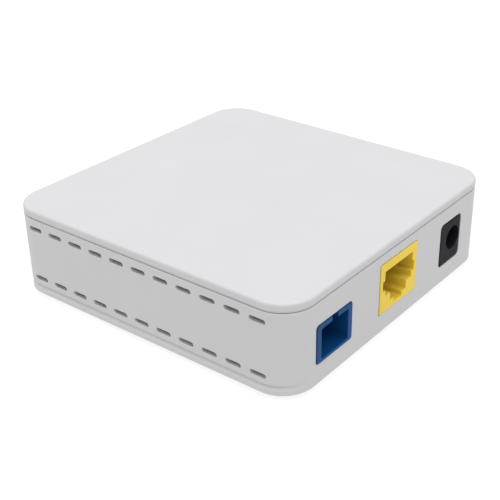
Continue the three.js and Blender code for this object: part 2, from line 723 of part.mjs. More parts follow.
function dcCentrePin() {
  const axis = [0, DC_BORE.z];
  const tipRadius = DC_PIN_RADIUS;
  const tip = new THREE.SphereGeometry(tipRadius, ROUND_SIDES, SMALL_SIDES);
  tip.rotateX(Math.PI / 2);
  tip.translate(0, DC_PIN_FRONT + tipRadius, DC_BORE.z);
  const shaft = rod(tipRadius, "y", [DC_PIN_FRONT + tipRadius, DC_PIN_TAIL_Y], axis);
  const body = join([solid(tip), shaft, dcTail(DC_PIN_TAIL_Y, DC_BORE.z + 1.5)]);
  return piece("dc_jack_centre_pin", body, materials.steel);
}

// The leaf presses on the side of a plug, and its terminal carries the current to the board
function dcSpringContact() {
  const bends = [[2.6, -3.3], [3.6, -3.05], [5, -1.75], [6.4, -3.05], [11.2, -3.3]];
  const leaf = extrude(ribbon(bends, DC_LEAF.thickness), "x", grow([0, 0], DC_LEAF.halfWidth));
  return piece("dc_jack_spring_contact", leaf, materials.steel);
}

function dcSpringTerminal() {
  return piece("dc_jack_spring_terminal", dcTail(DC_LEAF_TAIL_Y, -2.9), materials.steel);
}

function powerInlet() {
  const group = new THREE.Group();
  group.position.set(DC.x, -CASE_SIDE / 2 - DC.proud, DC.z);
  const works = new THREE.Group();
  works.position.set(DC_WORKS[0], 0, DC_WORKS[1]);
  works.add(dcCentrePin(), dcSpringContact(), dcSpringTerminal());
  group.add(dcHousing(), works);
  return group;
}

// ---- Assembly ----

const terminal = new THREE.Group();
// Two sockets stand out at the front: this keeps the outline centred
terminal.position.y = RJ.proud / 2;
terminal.add(topCover(), baseShell(), ...rubberFeet(), ratingLabel());
terminal.add(mainBoard(), ...boardScrews(), ...BLOCK_PARTS.map(boardPart), thermalPad(), heatsink());
terminal.add(...capacitors(), ...statusLamps(), lightPipe(), ...resetSwitch());
terminal.add(fibreSocket(), networkSocket(), powerInlet());

export default terminal;
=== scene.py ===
"""Looks of a small square fibre modem: white casing, three sockets on its port face (-Y).

Lengths are in millimetres until a mesh is made, which puts them in metres. Every place comes from
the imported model's boxes. X runs along the port face, Z is up.
"""

import json
import math

import bmesh
import bpy
import numpy as np
from mathutils import Matrix, Vector


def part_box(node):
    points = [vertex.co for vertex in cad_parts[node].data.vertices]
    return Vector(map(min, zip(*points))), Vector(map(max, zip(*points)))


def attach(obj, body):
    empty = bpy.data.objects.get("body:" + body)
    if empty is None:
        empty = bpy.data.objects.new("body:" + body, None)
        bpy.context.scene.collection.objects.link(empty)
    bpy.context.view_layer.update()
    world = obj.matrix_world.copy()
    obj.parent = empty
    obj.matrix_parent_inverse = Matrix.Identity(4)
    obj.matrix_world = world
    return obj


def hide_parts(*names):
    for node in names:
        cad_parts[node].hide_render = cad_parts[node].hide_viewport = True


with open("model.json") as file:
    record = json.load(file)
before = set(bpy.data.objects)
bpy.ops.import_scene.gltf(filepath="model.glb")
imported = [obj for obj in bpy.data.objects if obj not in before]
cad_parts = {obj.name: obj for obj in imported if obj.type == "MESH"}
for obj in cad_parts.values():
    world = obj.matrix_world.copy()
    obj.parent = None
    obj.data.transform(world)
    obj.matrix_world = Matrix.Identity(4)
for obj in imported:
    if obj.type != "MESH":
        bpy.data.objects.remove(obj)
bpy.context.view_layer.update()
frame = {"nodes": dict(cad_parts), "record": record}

MM = 0.001

# Casing
CORNER_RADIUS = 8.0
WALL = 2.0
FLOOR = 1.8
COVER_FILLET = 0.7
COVER_GAP = 0.3
SEAM_REBATE = (0.22, 0.14)
SEAM_ROUND = 0.35
BOTTOM_FILLET = 0.3
FIT_GAP = 0.3
# How far a joined piece reaches into the other one, and a cutter past the face it cuts
JOIN_DEPTH = 0.5
OVERSHOOT = 1.0
LIP_THICKNESS = 1.2
LIP_HEIGHT = 1.8
INNER_FILLET = 0.5
# Insets of the rings that divide the large flat faces
TOP_RINGS = (4.0, 10.0, 20.0, 30.0, 39.5)
FLAT_RINGS = (39.5, 20.0)
VENT_COUNT = 11
VENT_PITCH = 6.5
VENT_LENGTH = 4.1
VENT_HEIGHT = 1.1
VENT_FLARE = 0.22
VENT_ROWS = (4.35, 17.35)
# Hooks: x and side of each, -1 for the port face; the barb's level and reach
HOOKS = ((-13.9, -1), (13.0, -1), (-30.0, 1), (30.0, 1))
HOOK_WIDTH = 6.0
HOOK_TIP = 15.0
HOOK_BARB = (16.4, 0.7)
HOOK_CHAMFER = 0.4
BARB_THICKNESS = 0.3
CATCH_DEPTH = 0.9
BOSS_RADIUS = 2.5
PILOT_RADIUS = 1.25
PILOT_FLOOR = 0.9
FOOT_RECESS = 0.6
LABEL_RECESS = 0.5
LABEL_RADIUS = 1.2
FOOT_EDGE = 0.35
# The dish in a foot's sole: from the rim to its floor and to its edge, and its depth
FOOT_DISH = (1.2, 1.0, 0.12)
PIPE_CORNER = 1.4
PIPE_LINK = (1.6, 1.4)
STEM_RADIUS = 0.95
STEM_OVERLAPS = (0.5, 0.3)
DOME_RISE = 0.25
DOME_TURNS = (0.3, 0.6, 0.9, 1.2, 1.5)
PORT_GAPS = {"sc_receptacle_housing": 0.14, "rj45_housing": 0.12, "dc_jack_housing": 0.3}
PORT_RADII = {"sc_receptacle_housing": 0.7, "rj45_housing": 0.3, "dc_jack_housing": 1.0}
RESET_RADIUS = 1.0
WINDOW_RADIUS = 1.0
EDGE = 0.15
CORNER_STEPS = 20
SMALL_STEPS = 6
ROUND_STEPS = 64
BODY = "unit"

scene = bpy.context.scene


# ---------------------------------------------------------------- mesh helpers

def low_high(node):
    """Lowest and highest corner of a CAD node, in millimetres."""
    low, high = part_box(node)
    return np.array(low) / MM, np.array(high) / MM


def rectangle(centre, size, radius=0.0, steps=SMALL_STEPS, front=None):
    """Points round a rectangle with round corners, anticlockwise from its lower right corner."""
    half_u, half_v = size[0] / 2, size[1] / 2
    low = radius if front is None else front
    corners = (
        (half_u - radius, -half_v + low, low, -90),
        (half_u - radius, half_v - radius, radius, 0),
        (-half_u + radius, half_v - radius, radius, 90),
        (-half_u + radius, -half_v + low, low, 180),
    )
    points = []
    for u, v, reach, start in corners:
        for k in range(steps + 1 if radius else 1):
            turn = math.radians(start + 90 * k / steps)
            across = centre[0] + u + radius * math.cos(turn)
            points.append((across, centre[1] + v + reach * math.sin(turn)))
    return np.array(points)


def disc(centre, radius, steps=ROUND_STEPS):
    turns = np.arange(steps) * 2 * math.pi / steps
    return np.stack([centre[0] + radius * np.cos(turns), centre[1] + radius * np.sin(turns)], axis=1)


def slot_outline(centre, length, height, steps=10):
    """A slot with round ends."""
    radius = height / 2
    reach = length / 2 - radius
    points = []
    for side, start in ((1, -90), (-1, 90)):
        for k in range(steps + 1):
            turn = math.radians(start + 180 * k / steps)
            across = centre[0] + side * reach + radius * math.cos(turn)
            points.append((across, centre[1] + radius * math.sin(turn)))
    return np.array(points)


def soften(points, radius, steps=3):
    """Rounds every corner of a polygon."""
    points = np.asarray(points, float)
    result = []
    for i, point in enumerate(points):
        before = points[i - 1] - point
        after = points[(i + 1) % len(points)] - point
        start = point + before / np.linalg.norm(before) * radius
        end = point + after / np.linalg.norm(after) * radius
        for k in range(steps + 1):
            t = k / steps
            result.append((1 - t) ** 2 * start + 2 * t * (1 - t) * point + t ** 2 * end)
    return np.array(result)


def grown(points, amount):
    """An anticlockwise outline moved outwards everywhere by amount."""
    edges = np.roll(points, -1, axis=0) - points
    edges /= np.linalg.norm(edges, axis=1)[:, None]
    normals = np.stack([edges[:, 1], -edges[:, 0]], axis=1)
    before = np.roll(normals, 1, axis=0)
    scale = 1 + np.sum(normals * before, axis=1)
    return points + amount * (normals + before) / scale[:, None]


PLACING = {
    "x": lambda u, v, w: (w, u, v),
    "y": lambda u, v, w: (u, w, v),
    "z": lambda u, v, w: (u, v, w),
}


def new_object(name, vertices, faces):
    mesh = bpy.data.meshes.new(name)
    mesh.from_pydata([tuple(np.array(v) * MM) for v in vertices], [], faces)
    bm = bmesh.new()
    bm.from_mesh(mesh)
    bmesh.ops.remove_doubles(bm, verts=bm.verts, dist=1e-7)
    bmesh.ops.recalc_face_normals(bm, faces=bm.faces)
    bm.to_mesh(mesh)
    bm.free()
    obj = bpy.data.objects.new(name, mesh)
    scene.collection.objects.link(obj)
    return obj


def loft(name, sections, axis="z"):
    """A closed solid through outlines of equal length: sections are (outline, level) pairs."""
    place = PLACING[axis]
    vertices = [place(u, v, level) for outline, level in sections for u, v in outline]
    count = len(sections[0][0])
    faces = []
    for s in range(len(sections) - 1):
        for k in range(count):
            following = (k + 1) % count
            low, high = s * count, (s + 1) * count
            faces.append((low + k, low + following, high + following, high + k))
    faces.append(tuple(range(count)))
    faces.append(tuple(range((len(sections) - 1) * count, len(sections) * count)))
    return new_object(name, vertices, faces)


def bar(name, outline, axis, span, edge=EDGE, steps=4):
    """An extruded outline with both ends rounded off."""
    sections = []
    for end, inwards in ((span[0], 1), (span[1], -1)):
        ring = []
        for k in range(steps + 1):
            turn = math.pi / 2 * k / steps
            inset = edge * (1 - math.sin(turn))
            ring.append((grown(outline, -inset), end + inwards * edge * (1 - math.cos(turn))))
        sections.append(ring)
    return loft(name, sections[0] + sections[1][::-1], axis)


def cutter(outline, axis, mouth, inner, flare=0.0, steps=5):
    """A solid to cut a hole from mouth to inner; the rim at the level mouth is rounded by flare."""
    inwards = 1 if inner > mouth else -1
    sections = [(grown(outline, flare), mouth - inwards * OVERSHOOT)]
    for k in range(steps + 1 if flare else 0):
        turn = math.pi / 2 * k / steps
        widened = grown(outline, flare * (1 - math.sin(turn)))
        sections.append((widened, mouth + inwards * flare * (1 - math.cos(turn))))
    sections.append((outline, inner))
    return loft("cutter", sections, axis)


def apply_modifiers(obj):
    evaluated = obj.evaluated_get(bpy.context.evaluated_depsgraph_get())
    mesh = bpy.data.meshes.new_from_object(evaluated)
    obj.modifiers.clear()
    old = obj.data
    obj.data = mesh
    bpy.data.meshes.remove(old)


def combine(obj, others, operation):
    """Joins others to obj or cuts them from it, then deletes them."""
    for other in others:
        modifier = obj.modifiers.new("boolean", "BOOLEAN")
        modifier.operation = operation
        modifier.solver = "EXACT"
        modifier.object = other
    apply_modifiers(obj)
    for other in others:
        bpy.data.objects.remove(other)
    return obj


def merged(objects):
    """One object holding the meshes of several that don't touch."""
    bm = bmesh.new()
    for obj in objects:
        bm.from_mesh(obj.data)
    mesh = bpy.data.meshes.new("merged")
    bm.to_mesh(mesh)
    bm.free()
    for obj in objects:
        bpy.data.objects.remove(obj)
    whole = bpy.data.objects.new("merged", mesh)
    scene.collection.objects.link(whole)
    return whole


def lathe(name, profile, axis, centre, steps=ROUND_STEPS):
    """A turned solid: profile is (radius, level) pairs, closed by flat ends or by radius 0."""
    sections = [(disc(centre, max(radius, 0.01), steps), level) for radius, level in profile]
    return loft(name, sections, axis)


def ring_solid(name, inner, outer, axis, span, centre, edge=0.1):
    """A turned tube with chamfered ends."""
    place = PLACING[axis]
    low, high = span
    profile = [
        (inner, low + edge), (inner + edge, low), (outer - edge, low), (outer, low + edge),
        (outer, high - edge), (outer - edge, high), (inner + edge, high), (inner, high - edge),
    ]
    vertices = [place(u, v, level) for radius, level in profile for u, v in disc(centre, radius)]
    faces = []
    for s in range(len(profile)):
        a, b = s * ROUND_STEPS, (s + 1) % len(profile) * ROUND_STEPS
        for k in range(ROUND_STEPS):
            following = (k + 1) % ROUND_STEPS
            faces.append((a + k, a + following, b + following, b + k))
    return new_object(name, vertices, faces)


def smooth(obj, angle=32):
    """Smooth shading that keeps real edges crisp."""
    mesh = obj.data
    mesh.shade_smooth()
    mesh.set_sharp_from_angle(angle=math.radians(angle))
    modifier = obj.modifiers.new("weighted_normals", "WEIGHTED_NORMAL")
    modifier.keep_sharp = True


def publish(obj, name, material, body, nodes=()):
    """Names a finished piece, dresses it and fastens it to the model."""
    obj.name = name
    obj.data.name = name
    obj.data.materials.clear()
    obj.data.materials.append(material)
    smooth(obj)
    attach(obj, body)
    if nodes:
        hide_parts(*nodes)
    return obj


# ---------------------------------------------------------------- materials

def new_material(name):
    material = bpy.data.materials.new(name)
    material.use_nodes = True
    nodes = material.node_tree.nodes
    return material, nodes, material.node_tree.links, nodes["Principled BSDF"]


def object_noise(nodes, links, scale, detail=2.0, roughness=0.5):
    """Noise fixed to the piece; scale is in bumps per metre."""
    place = nodes.new("ShaderNodeTexCoord")
    noise = nodes.new("ShaderNodeTexNoise")
    noise.inputs["Scale"].default_value = scale
    noise.inputs["Detail"].default_value = detail
    noise.inputs["Roughness"].default_value = roughness
    links.new(place.outputs["Object"], noise.inputs["Vector"])
    return noise.outputs["Fac"]


def ramp(nodes, links, value, low, high):
    """Colour ramp from low to high over the middle of a noise value."""
    node = nodes.new("ShaderNodeValToRGB")
    node.color_ramp.elements[0].position = 0.3
    node.color_ramp.elements[1].position = 0.7
    node.color_ramp.elements[0].color = (*low, 1)
    node.color_ramp.elements[1].color = (*high, 1)
    links.new(value, node.inputs["Fac"])
    return node.outputs["Color"]


def spread(nodes, links, value, low, high):
    """Number from low to high over the middle of a noise value."""
    node = nodes.new("ShaderNodeMapRange")
    node.inputs["From Min"].default_value = 0.3
    node.inputs["From Max"].default_value = 0.7
    node.inputs["To Min"].default_value = low
    node.inputs["To Max"].default_value = high
    links.new(value, node.inputs["Value"])
    return node.outputs["Result"]


def bumped(nodes, links, shader, height, distance, strength=1.0):
    bump = nodes.new("ShaderNodeBump")
    bump.inputs["Distance"].default_value = distance
    bump.inputs["Strength"].default_value = strength
    links.new(height, bump.inputs["Height"])
    links.new(bump.outputs["Normal"], shader.inputs["Normal"])


def moulded(name, colour, roughness, grain=0.35, relief=0.004, tint=0.03, metallic=0.0, gloss=0.5):
    """A solid material, or a metal, with fine grain and faint mottling of colour and gloss."""
    material, nodes, links, shader = new_material(name)
    mottle = object_noise(nodes, links, 60, detail=3)
    low = [c * (1 - tint) for c in colour]
    high = [min(c * (1 + tint), 1) for c in colour]
    links.new(ramp(nodes, links, mottle, low, high), shader.inputs["Base Color"])
    fine = object_noise(nodes, links, 1 / (grain * MM), detail=2)
    links.new(spread(nodes, links, fine, roughness - 0.05, roughness + 0.05), shader.inputs["Roughness"])
    bumped(nodes, links, shader, fine, relief * MM, 0.6)
    shader.inputs["Metallic"].default_value = metallic
    shader.inputs["Specular IOR Level"].default_value = gloss
    return material


def clear_plastic(name):
    material, nodes, links, shader = new_material(name)
    haze = object_noise(nodes, links, 900)
    cloudy, clear = (0.82, 0.86, 0.88), (0.92, 0.95, 0.96)
    links.new(ramp(nodes, links, haze, cloudy, clear), shader.inputs["Base Color"])
    links.new(spread(nodes, links, haze, 0.12, 0.25), shader.inputs["Roughness"])
    shader.inputs["Transmission Weight"].default_value = 0.75
    shader.inputs["IOR"].default_value = 1.49
    return material


def board_material(name):
    """Solder mask over a maze of tracks."""
    material, nodes, links, shader = new_material(name)
    place = nodes.new("ShaderNodeTexCoord")
    tracks = nodes.new("ShaderNodeTexVoronoi")
    tracks.distance = "MANHATTAN"
    tracks.feature = "DISTANCE_TO_EDGE"
    tracks.inputs["Scale"].default_value = 300
    links.new(place.outputs["Object"], tracks.inputs["Vector"])
    edge = spread(nodes, links, tracks.outputs["Distance"], 0, 1)
    between, over = (0.012, 0.085, 0.03), (0.02, 0.15, 0.05)
    links.new(ramp(nodes, links, edge, between, over), shader.inputs["Base Color"])
    shader.inputs["Roughness"].default_value = 0.35
    bumped(nodes, links, shader, edge, 0.02 * MM)
    return material


def make_materials():
    """The material of every slot; grain and relief are its bumps' size and height in millimetres."""
    return {
        "casing": moulded(
            "white_plastic", (0.447, 0.445, 0.456), 0.5, grain=0.4, relief=0.006, tint=0.012,
        ),
        "feet": moulded("black_rubber", (0.03, 0.03, 0.032), 0.8, grain=0.25, relief=0.02, tint=0.2),
        "label": moulded("label_film", (0.6, 0.6, 0.58), 0.42, grain=1.2, relief=0.003, tint=0.03),
        "light_pipe": clear_plastic("clear_plastic"),
        "board": board_material("solder_mask"),
        "chips": moulded("chip_epoxy", (0.02, 0.02, 0.022), 0.55, grain=0.12, relief=0.006, tint=0.2),
        "inductors": moulded("ferrite", (0.05, 0.05, 0.052), 0.7, grain=0.3, relief=0.02, tint=0.2),
        "thermal_pad": moulded(
            "silicone_pad", (0.2, 0.28, 0.38), 0.85, grain=0.6, relief=0.02, tint=0.08,
        ),
        "aluminium": moulded(
            "anodised_aluminium", (0.62, 0.64, 0.66), 0.4, grain=0.2, relief=0.004, metallic=1.0,
        ),
        "steel": moulded(
            "nickel_plate", (0.62, 0.61, 0.58), 0.3, grain=0.5, relief=0.003, metallic=1.0,
        ),
        "gold_contact": moulded(
            "gold_plate", (0.86, 0.6, 0.22), 0.22, grain=0.4, relief=0.002, metallic=1.0,
        ),
        "gold_can": moulded(
            "plated_can", (0.78, 0.62, 0.32), 0.28, grain=0.5, relief=0.002, metallic=1.0,
        ),
        "lamp": moulded("lamp_resin", (0.75, 0.7, 0.4), 0.25, grain=0.3, relief=0.002),
        "black_plastic": moulded(
            "black_plastic", (0.008, 0.009, 0.0105), 0.5, grain=0.25, relief=0.004, tint=0.15, gloss=0.06,
        ),
        "yellow_plastic": moulded(
            "yellow_plastic", (0.66, 0.475, 0.04), 0.42, grain=0.3, relief=0.004, tint=0.05, gloss=0.25,
        ),
        "blue_plastic": moulded(
            "blue_plastic", (0.002, 0.046, 0.16), 0.42, grain=0.3, relief=0.004, tint=0.08, gloss=0.12,
        ),
        "ivory_plastic": moulded("ivory_plastic", (0.72, 0.7, 0.6), 0.42, grain=0.3, relief=0.003),
        "zirconia": moulded("zirconia", (0.82, 0.81, 0.78), 0.15, grain=0.5, relief=0.001),
    }


# ---------------------------------------------------------------- casing

cover_low, cover_high = low_high("top_cover")
base_low, base_high = low_high("base_shell")
CASE_SIDE = cover_high[0] - cover_low[0]
CASE_MIDDLE = (cover_low[1] + cover_high[1]) / 2
BASE_BOTTOM = base_low[2]
BASE_TOP = base_high[2]
COVER_TOP = cover_high[2]
COVER_BOTTOM = BASE_TOP + COVER_GAP
PORT_FACE = CASE_MIDDLE - CASE_SIDE / 2
BACK_FACE = CASE_MIDDLE + CASE_SIDE / 2


def case_outline(inset):
    """The casing's outline seen from above, moved inwards."""
    side = CASE_SIDE - 2 * inset
    return rectangle((0, CASE_MIDDLE), (side, side), max(CORNER_RADIUS - inset, 0.5), CORNER_STEPS)


def quarter(start, end, steps=6):
    """Points of a quarter ellipse from start to end, leaving start along the second coordinate."""
    points = []
    for k in range(1, steps + 1):
        turn = math.pi / 2 * k / steps
        a = start[0] + (end[0] - start[0]) * (1 - math.cos(turn))
        b = start[1] + (end[1] - start[1]) * math.sin(turn)
        points.append((a, b))
    return points


def snap_hook(x, side):
    """A barbed hook under the cover, on the casing's front (-1) or back (1)."""
    outer = CASE_SIDE / 2 - WALL - FIT_GAP
    inner = outer - LIP_THICKNESS
    level, reach = HOOK_BARB
    points = [
        (inner, HOOK_TIP),
        (outer - HOOK_CHAMFER, HOOK_TIP),
        (outer + reach, level - BARB_THICKNESS),
        (outer + reach, level),
        (outer, level),
        (outer, COVER_BOTTOM + JOIN_DEPTH),
        (inner, COVER_BOTTOM + JOIN_DEPTH),
    ]
    outline = np.array([(CASE_MIDDLE + side * y, z) for y, z in points])
    if side < 0:
        outline = outline[::-1]
    return bar("hook", outline, "x", (x - HOOK_WIDTH / 2, x + HOOK_WIDTH / 2), edge=0.1, steps=2)


def top_cover():
    """The cover's plate with its rounded edge, its locating lip and its hooks."""
    lip_outer = WALL + FIT_GAP
    lip_inner = lip_outer + LIP_THICKNESS
    lip_bottom = COVER_BOTTOM - LIP_HEIGHT
    rebate, drop = SEAM_REBATE
    profile = [(inset, COVER_BOTTOM) for inset in FLAT_RINGS]
    profile += [(lip_inner, COVER_BOTTOM), (lip_inner, lip_bottom + EDGE)]
    profile += quarter((lip_inner, lip_bottom + EDGE), (lip_inner - EDGE, lip_bottom), 3)
    profile += [(lip_outer + EDGE, lip_bottom), (lip_outer, lip_bottom + EDGE)]
    profile += [(lip_outer, COVER_BOTTOM - drop), (rebate, COVER_BOTTOM - drop), (rebate, COVER_BOTTOM)]
    profile += quarter((rebate, COVER_BOTTOM), (0, COVER_BOTTOM + SEAM_ROUND), 5)
    profile.append((0, COVER_TOP - COVER_FILLET))
    profile += quarter((0, COVER_TOP - COVER_FILLET), (COVER_FILLET, COVER_TOP), 10)
    profile += [(inset, COVER_TOP) for inset in TOP_RINGS]
    cover = loft("top_cover", [(case_outline(inset), level) for inset, level in profile])
    hooks = merged([snap_hook(x, side) for x, side in HOOKS])
    return combine(cover, [hooks], "UNION")


def crease_ring(inset):
    """The wall's outline moved inwards on all sides but the front, where it meets the port face."""
    side = CASE_SIDE - 2 * inset
    centre = (0, CASE_MIDDLE - inset / 2)
    size = (side, CASE_SIDE - inset)
    return rectangle(centre, size, CORNER_RADIUS - inset, CORNER_STEPS, front=CORNER_RADIUS)


# The shallow crease round the foot: how deep and how far above the casing's underside
CREASE_PROFILE = (
    (0, 1.2), (0.03, 1.32), (0.1, 1.46), (0.2, 1.6), (0.3, 1.74), (0.39, 1.87), (0.46, 1.98), (0.5, 2.07),
    (0.5, 2.15), (0.45, 2.23), (0.35, 2.31), (0.22, 2.4), (0.11, 2.5), (0.04, 2.62), (0, 2.8),
)


def base_solid():
    """The open tray with its creased walls, before anything is cut from it."""
    inside = BASE_BOTTOM + FLOOR
    sections = [(case_outline(inset), BASE_BOTTOM) for inset in (*FLAT_RINGS, TOP_RINGS[0])]
    profile = quarter((BOTTOM_FILLET, BASE_BOTTOM), (0, BASE_BOTTOM + BOTTOM_FILLET), 6)
    sections.append((case_outline(BOTTOM_FILLET), BASE_BOTTOM))
    sections += [(case_outline(inset), level) for inset, level in profile]
    sections += [(crease_ring(inset), BASE_BOTTOM + height) for inset, height in CREASE_PROFILE]
    profile = [(0, BASE_TOP - SEAM_ROUND)]
    profile += quarter((0, BASE_TOP - SEAM_ROUND), (SEAM_ROUND, BASE_TOP), 5)
    profile += [(WALL - EDGE, BASE_TOP), (WALL, BASE_TOP - EDGE), (WALL, inside + INNER_FILLET)]
    profile += quarter((WALL, inside + INNER_FILLET), (WALL + INNER_FILLET, inside), 4)
    profile += [(inset, inside) for inset in FLAT_RINGS[::-1]]
    sections += [(case_outline(inset), level) for inset, level in profile]
    return loft("base_shell", sections)


def screw_bosses():
    """Bosses under the board's screws, and the blind holes in them."""
    bosses, pilots = [], []
    top = low_high("main_board")[0][2] - FIT_GAP
    floor = BASE_BOTTOM + FLOOR
    for i in range(1, 5):
        low, high = low_high(f"pcb_screw_{i}")
        place = ((low + high) / 2)[:2]
        profile = [(BOSS_RADIUS, floor - JOIN_DEPTH), (BOSS_RADIUS, top - EDGE), (BOSS_RADIUS - EDGE, top)]
        bosses.append(lathe("boss", profile, "z", place, 40))
        hole = disc(place, PILOT_RADIUS, 32)
        pilots.append(cutter(hole, "z", top, BASE_BOTTOM + PILOT_FLOOR, flare=EDGE))
    return bosses, pilots


def catch_pockets():
    """Hollows in the walls that the cover's hooks snap into."""
    pockets = []
    inside = CASE_SIDE / 2 - WALL
    for x, side in HOOKS:
        ends = (CASE_MIDDLE + side * (inside - OVERSHOOT), CASE_MIDDLE + side * (inside + CATCH_DEPTH))
        near, far = sorted(ends)
        low, high = HOOK_TIP - FIT_GAP, HOOK_BARB[0] + FIT_GAP
        outline = rectangle(((near + far) / 2, (low + high) / 2), (far - near, high - low))
        half = HOOK_WIDTH / 2 + FIT_GAP
        pockets.append(bar("pocket", outline, "x", (x - half, x + half), edge=0.05, steps=1))
    return pockets


def vent_cutters():
    """Two rows of round-ended slots through both sides."""
    cutters = []
    outer = CASE_SIDE / 2
    inner = outer - WALL - OVERSHOOT
    for side in (-1, 1):
        for row in VENT_ROWS:
            for i in range(VENT_COUNT):
                y = CASE_MIDDLE + (i - (VENT_COUNT - 1) / 2) * VENT_PITCH
                outline = slot_outline((y, BASE_BOTTOM + row), VENT_LENGTH, VENT_HEIGHT)
                cutters.append(cutter(outline, "x", side * outer, side * inner, VENT_FLARE))
    return cutters


def port_cutters():
    """The three openings in the port face, each a little larger than its socket."""
    cutters = []
    for node, radius in PORT_RADII.items():
        low, high = low_high(node)
        centre = ((low[0] + high[0]) / 2, (low[2] + high[2]) / 2)
        gap = PORT_GAPS[node]
        size = (high[0] - low[0] + 2 * gap, high[2] - low[2] + 2 * gap)
        outline = rectangle(centre, size, radius + gap)
        cutters.append(cutter(outline, "y", PORT_FACE, PORT_FACE + WALL + OVERSHOOT, flare=0.1))
    return cutters


def lamp_places():
    """X of each lamp."""
    for i in range(1, 5):
        low, high = low_high(f"status_led_{i}")
        yield (low[0] + high[0]) / 2


def window_level():
    """Level of the light pipe's windows in the back face."""
    return low_high("light_pipe")[1][2] - WINDOW_RADIUS


def back_cutters():
    """The lamp windows and the reset hole."""
    inner = BACK_FACE - WALL - OVERSHOOT
    cutters = []
    for x in lamp_places():
        hole = disc((x, window_level()), WINDOW_RADIUS + FIT_GAP, 40)
        cutters.append(cutter(hole, "y", BACK_FACE, inner, flare=EDGE))
    low, high = low_high("reset_switch_plunger")
    hole = disc(((low[0] + high[0]) / 2, (low[2] + high[2]) / 2), RESET_RADIUS, 40)
    cutters.append(cutter(hole, "y", BACK_FACE, inner, flare=0.2))
    return cutters


def under_cutters():
    """The recesses of the feet and the label."""
    cutters = []
    for i in range(1, 5):
        low, high = low_high(f"rubber_foot_{i}")
        centre = (low + high) / 2
        outline = disc(centre[:2], (high[0] - low[0]) / 2 + FIT_GAP)
        cutters.append(cutter(outline, "z", BASE_BOTTOM, BASE_BOTTOM + FOOT_RECESS, flare=EDGE))
    low, high = low_high("rating_label")
    centre = (low + high) / 2
    size = (high[0] - low[0] + 2 * FIT_GAP, high[1] - low[1] + 2 * FIT_GAP)
    outline = rectangle(centre[:2], size, LABEL_RADIUS + FIT_GAP)
    cutters.append(cutter(outline, "z", BASE_BOTTOM, BASE_BOTTOM + LABEL_RECESS, flare=EDGE))
    return cutters


def make_casing(materials):
    publish(top_cover(), "cover_shell", materials["casing"], BODY, ["top_cover"])
    base = base_solid()
    bosses, pilots = screw_bosses()
    combine(base, [merged(bosses)], "UNION")
    holes = vent_cutters() + port_cutters() + back_cutters() + under_cutters() + pilots + catch_pockets()
    combine(base, [merged(holes)], "DIFFERENCE")
    publish(base, "base_tray", materials["casing"], BODY, ["base_shell"])


def make_feet(materials):
    """Round feet that stand on the floor at z = 0, each with a shallow dish in its sole."""
    rim_inner, rim_outer, dish = FOOT_DISH
    for i in range(1, 5):
        node = f"rubber_foot_{i}"
        low, high = low_high(node)
        centre = (low + high) / 2
        radius = (high[0] - low[0]) / 2
        profile = [(radius - rim_inner, dish), (radius - rim_outer, 0.0), (radius - FOOT_EDGE, 0.0)]
        profile += [(radius - r, z) for r, z in quarter((FOOT_EDGE, 0.0), (0, FOOT_EDGE), 5)]
        profile += [(radius, high[2] - 0.1), (radius - 0.1, high[2])]
        foot = lathe(node, profile, "z", centre[:2])
        publish(foot, f"foot_pad_{i}", materials["feet"], BODY, [node])


def make_label(materials):
    low, high = low_high("rating_label")
    centre = (low + high) / 2
    outline = rectangle(centre[:2], (high - low)[:2], LABEL_RADIUS)
    sheet = bar("label", outline, "z", (low[2], high[2]), 0.05)
    publish(sheet, "blank_label", materials["label"], BODY, ["rating_label"])


def make_light_pipe(materials):
    """One clear moulding: four legs over the lamps, each with a domed window in the back face."""
    low, high = low_high("light_pipe")
    level = window_level()
    near, far = low[1], low[1] + 2 * WINDOW_RADIUS
    bend = soften(np.array([
        (near, low[2]), (far, low[2]), (far, high[2]),
        (near + PIPE_CORNER, high[2]), (near, high[2] - PIPE_CORNER),
    ]), 0.12)
    shoulder = high[1] - DOME_RISE
    profile = [(STEM_RADIUS, far - STEM_OVERLAPS[0]), (WINDOW_RADIUS, far - STEM_OVERLAPS[1])]
    profile.append((WINDOW_RADIUS, shoulder))
    for turn in DOME_TURNS:
        profile.append((WINDOW_RADIUS * math.cos(turn), shoulder + DOME_RISE * math.sin(turn)))
    places = list(lamp_places())
    legs = []
    for x in places:
        legs.append(bar("leg", bend, "x", (x - WINDOW_RADIUS, x + WINDOW_RADIUS), edge=0.1, steps=2))
    windows = [lathe("window", profile, "y", (x, level), 40) for x in places]
    link = rectangle((far + PIPE_CORNER, level), PIPE_LINK, 0.15)
    pipe = bar("link", link, "x", (places[0], places[-1]), edge=0.1, steps=2)
    combine(pipe, [merged(windows)], "UNION")
    combine(pipe, [merged(legs)], "UNION")
    publish(pipe, "light_guides", materials["light_pipe"], BODY, ["light_pipe"])


# ---------------------------------------------------------------- fibre socket

SC_MOUTH = (9.7, 7.4)
SC_MOUTH_RADIUS = 0.5
SC_AXIS_DROP = 0.2
SC_CAVITY = 14.3
SC_KEY_WIDTH = 2.1
SC_KEY_DEPTH = 8.0
SC_KEY_OVERLAP = 1.0
SC_BORE = 1.9
HOLDER_RADII = (1.9, 2.3)
HOLDER_FLANGE = 1.5
SLEEVE_RADII = (1.25, 1.6)


def port_box(node):
    """Lowest and highest corner, centre and size of a node."""
    low, high = low_high(node)
    return low, high, (low + high) / 2, high - low


